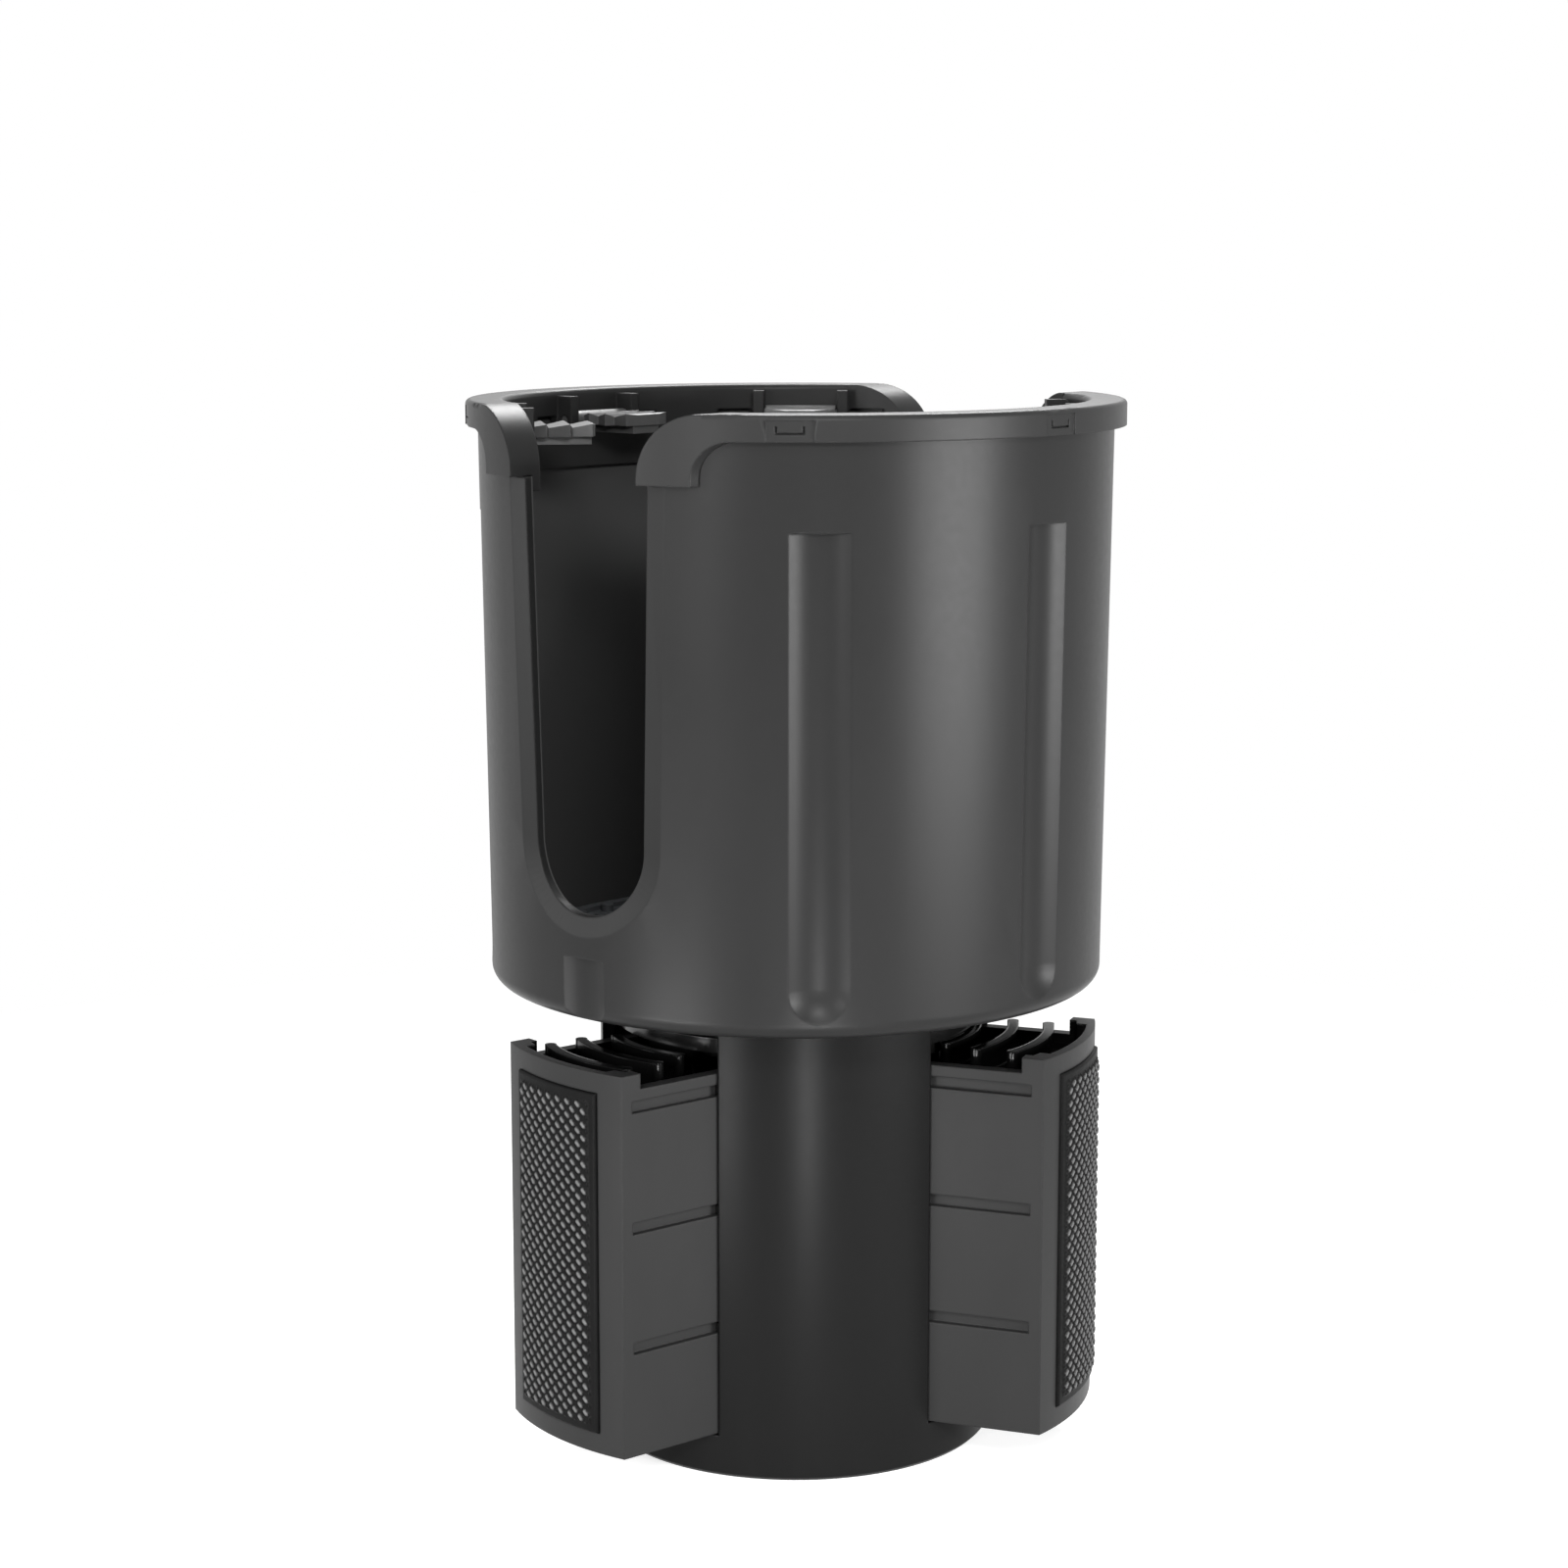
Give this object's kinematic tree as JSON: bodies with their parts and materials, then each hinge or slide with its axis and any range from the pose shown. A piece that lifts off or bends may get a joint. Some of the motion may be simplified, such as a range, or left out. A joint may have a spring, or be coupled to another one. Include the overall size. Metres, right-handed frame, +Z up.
{
  "type": "car cup holder",
  "caption": "Expanding car cup holder: a wide cup with mug-handle slots turns on a slim base whose gripping shoes slide out to fill the vehicle's own cup well.",
  "frame": {"origin": "centre of the base's underside, where the axis of the base and cup meets the surface it stands on", "axes": "+Z up along the common axis; shoe 1 points along +Y, and the handle slots lie 39.4 degrees from +X and opposite"},
  "size_m": [0.105, 0.105, 0.1689],
  "materials": {
    "cup_plastic": "fine matt moulded plastic, dark grey",
    "rim_plastic": "satin moulded plastic, dark grey",
    "base_plastic": "satin moulded plastic, near black",
    "shoe_plastic": "satin moulded plastic, dark grey",
    "scroll_plastic": "smooth glossy black plastic",
    "pad_rubber": "black rubber with a raised grip pattern",
    "mat_rubber": "soft matt rubber, bluish dark grey",
    "tab_rubber": "soft matt rubber, grey",
    "screw_steel": "zinc-plated steel"
  },
  "bodies": {
    "base": {"base_housing": "base_plastic", "base_cover": "base_plastic", "base_screws": "screw_steel", "pivot_bolt": "screw_steel", "pivot_washer": "screw_steel"},
    "cup": {"cup": "cup_plastic", "cup_mat": "mat_rubber", "rim_cap_front": "rim_plastic", "rim_cap_back": "rim_plastic", "scroll_plate": "scroll_plastic", "scroll_screws": "screw_steel"},
    "shoe_1": {"shoe_1": "shoe_plastic", "shoe_pad_1": "pad_rubber"},
    "shoe_2": {"shoe_2": "shoe_plastic", "shoe_pad_2": "pad_rubber"},
    "shoe_3": {"shoe_3": "shoe_plastic", "shoe_pad_3": "pad_rubber"},
    "tab_1": {"gripper_tab_1": "tab_rubber"},
    "tab_2": {"gripper_tab_2": "tab_rubber"},
    "tab_3": {"gripper_tab_3": "tab_rubber"},
    "tab_4": {"gripper_tab_4": "tab_rubber"},
    "tab_5": {"gripper_tab_5": "tab_rubber"},
    "tab_6": {"gripper_tab_6": "tab_rubber"}
  },
  "joints": [
    {"name": "cup_twist", "type": "hinge", "parent": "base", "child": "cup", "pos_m": [0, 0, 0.0756], "axis": [0, 0, 1], "range_deg": [-720, 0]},
    {"name": "shoe_slide_1", "type": "slide", "parent": "base", "child": "shoe_1", "axis": [0, 1, 0], "range_m": [-0.012, 0]},
    {"name": "shoe_slide_2", "type": "slide", "parent": "base", "child": "shoe_2", "axis": [-0.866, -0.5, 0], "range_m": [-0.012, 0]},
    {"name": "shoe_slide_3", "type": "slide", "parent": "base", "child": "shoe_3", "axis": [0.866, -0.5, 0], "range_m": [-0.012, 0]},
    {"name": "tab_bend_1", "type": "hinge", "parent": "cup", "child": "tab_1", "pos_m": [0.00811, 0.04336, 0.1639], "axis": [0.9829, -0.184, 0], "range_deg": [0, 70], "stiffness_Nm_per_rad": 0.01},
    {"name": "tab_bend_2", "type": "hinge", "parent": "cup", "child": "tab_2", "pos_m": [-0.028, 0.03408, 0.1639], "axis": [0.7727, 0.6347, 0], "range_deg": [0, 70], "stiffness_Nm_per_rad": 0.01},
    {"name": "tab_bend_3", "type": "hinge", "parent": "cup", "child": "tab_3", "pos_m": [-0.04411, 0.00046, 0.1639], "axis": [0.0105, 0.9999, 0], "range_deg": [0, 70], "stiffness_Nm_per_rad": 0.01},
    {"name": "tab_bend_4", "type": "hinge", "parent": "cup", "child": "tab_4", "pos_m": [-0.00811, -0.04336, 0.1639], "axis": [-0.9829, 0.184, 0], "range_deg": [0, 70], "stiffness_Nm_per_rad": 0.01},
    {"name": "tab_bend_5", "type": "hinge", "parent": "cup", "child": "tab_5", "pos_m": [0.028, -0.03408, 0.1639], "axis": [-0.7727, -0.6347, 0], "range_deg": [0, 70], "stiffness_Nm_per_rad": 0.01},
    {"name": "tab_bend_6", "type": "hinge", "parent": "cup", "child": "tab_6", "pos_m": [0.04411, -0.00046, 0.1639], "axis": [-0.0105, -0.9999, 0], "range_deg": [0, 70], "stiffness_Nm_per_rad": 0.01}
  ],
  "couplings": [
    {"joint": "shoe_slide_1", "follows": "cup_twist", "m_per_rad": 0.00095493},
    {"joint": "shoe_slide_2", "follows": "cup_twist", "m_per_rad": 0.00095493},
    {"joint": "shoe_slide_3", "follows": "cup_twist", "m_per_rad": 0.00095493}
  ]
}
